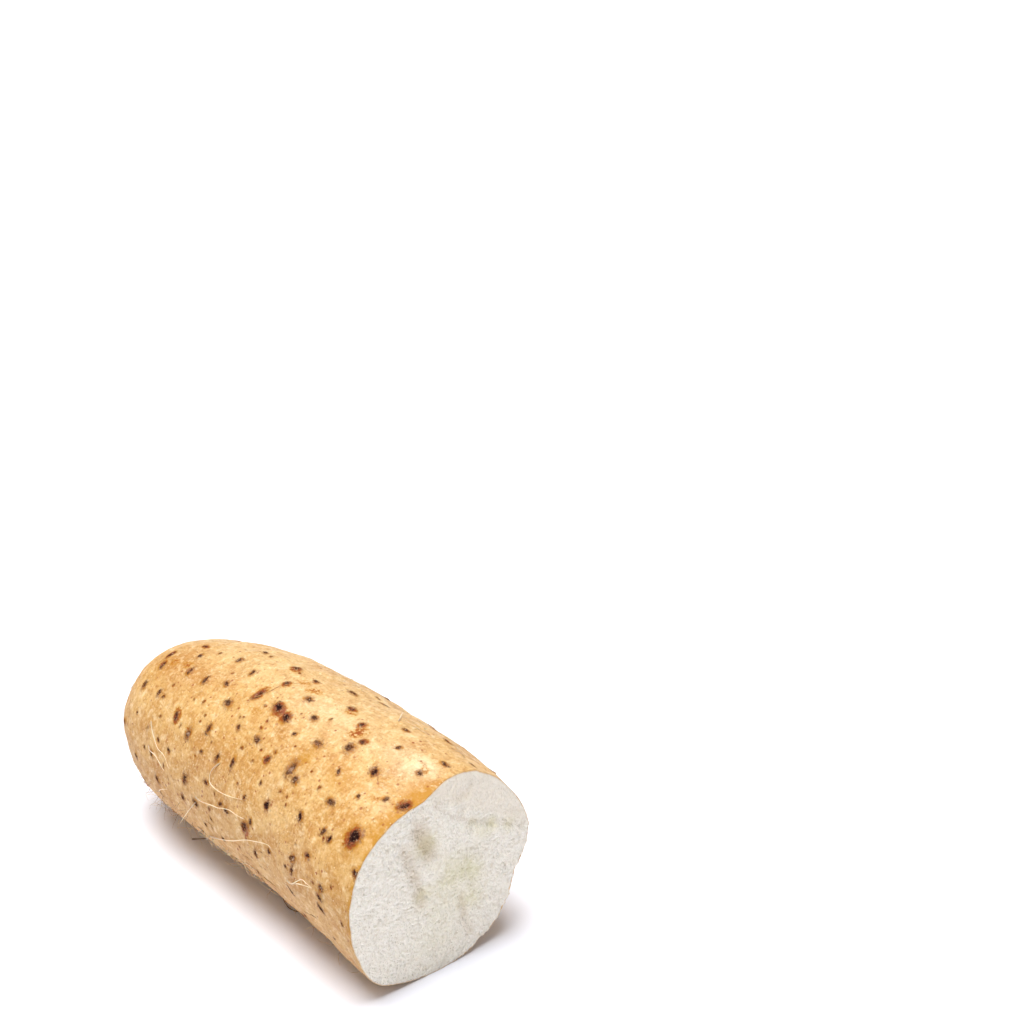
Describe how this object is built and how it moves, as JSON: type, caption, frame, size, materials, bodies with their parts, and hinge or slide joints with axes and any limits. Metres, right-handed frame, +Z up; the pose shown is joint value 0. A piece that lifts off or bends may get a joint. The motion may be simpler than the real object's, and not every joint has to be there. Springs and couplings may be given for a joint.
{
  "type": "nagaimo",
  "caption": "Snapped length of nagaimo, the long Chinese yam: a tan-skinned tuber with raised root scars, a blunt grown tip and a broken white face.",
  "frame": {"origin": "on the surface that the tuber lies on, below the middle of its box", "axes": "+X along the tuber from its grown tip to its broken face, +Z up"},
  "size_m": [0.149, 0.0741, 0.0697],
  "materials": {
    "skin": "thin satin tan skin with brown root scars",
    "flesh": "moist broken white flesh",
    "rootlet": "dry pale rootlets"
  },
  "bodies": {
    "root": {"nagaimo": "skin"}
  },
  "joints": []
}
